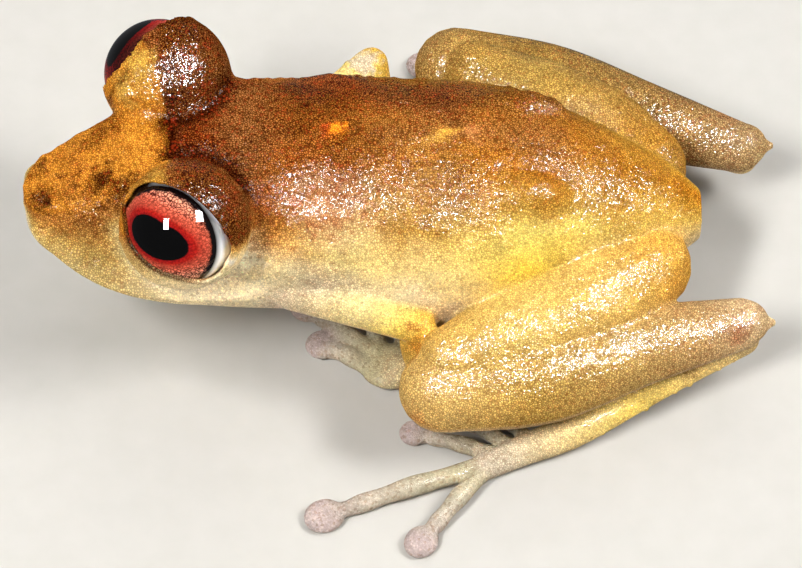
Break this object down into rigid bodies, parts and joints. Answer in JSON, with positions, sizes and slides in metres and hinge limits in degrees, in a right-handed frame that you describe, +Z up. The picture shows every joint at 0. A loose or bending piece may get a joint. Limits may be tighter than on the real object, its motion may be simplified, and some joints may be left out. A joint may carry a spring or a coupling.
{
  "type": "rain frog museum model",
  "caption": "Still, life-size museum model of a small golden-brown rain frog with big red eyes, crouched on folded hind legs with its feet spread flat on the floor.",
  "frame": {"origin": "centre of the footprint box, on the floor that the frog sits on", "axes": "+Z up from the floor; the frog faces -X and its left side is on -Y; +X runs back along the body"},
  "size_m": [0.0278, 0.0232, 0.0109],
  "materials": {
    "head_skin": "moist granular skin, orange on the snout and brown behind it",
    "back_skin": "moist granular skin, red-brown above and golden yellow on the flanks",
    "limb_skin": "moist granular golden-yellow skin",
    "digit_skin": "smooth moist pale skin",
    "eye": "wet clear cornea over a red iris and a dark pupil"
  },
  "bodies": {
    "root": {"head": "head_skin", "torso": "back_skin", "eye_left": "eye", "eye_right": "eye", "upper_arm_left": "limb_skin", "upper_arm_right": "limb_skin", "forearm_left": "limb_skin", "forearm_right": "limb_skin", "hand_left": "digit_skin", "hand_right": "digit_skin", "thigh_left": "limb_skin", "thigh_right": "limb_skin", "shank_left": "limb_skin", "shank_right": "limb_skin", "tarsus_left": "limb_skin", "tarsus_right": "limb_skin", "foot_left": "digit_skin", "foot_right": "digit_skin"}
  },
  "joints": []
}
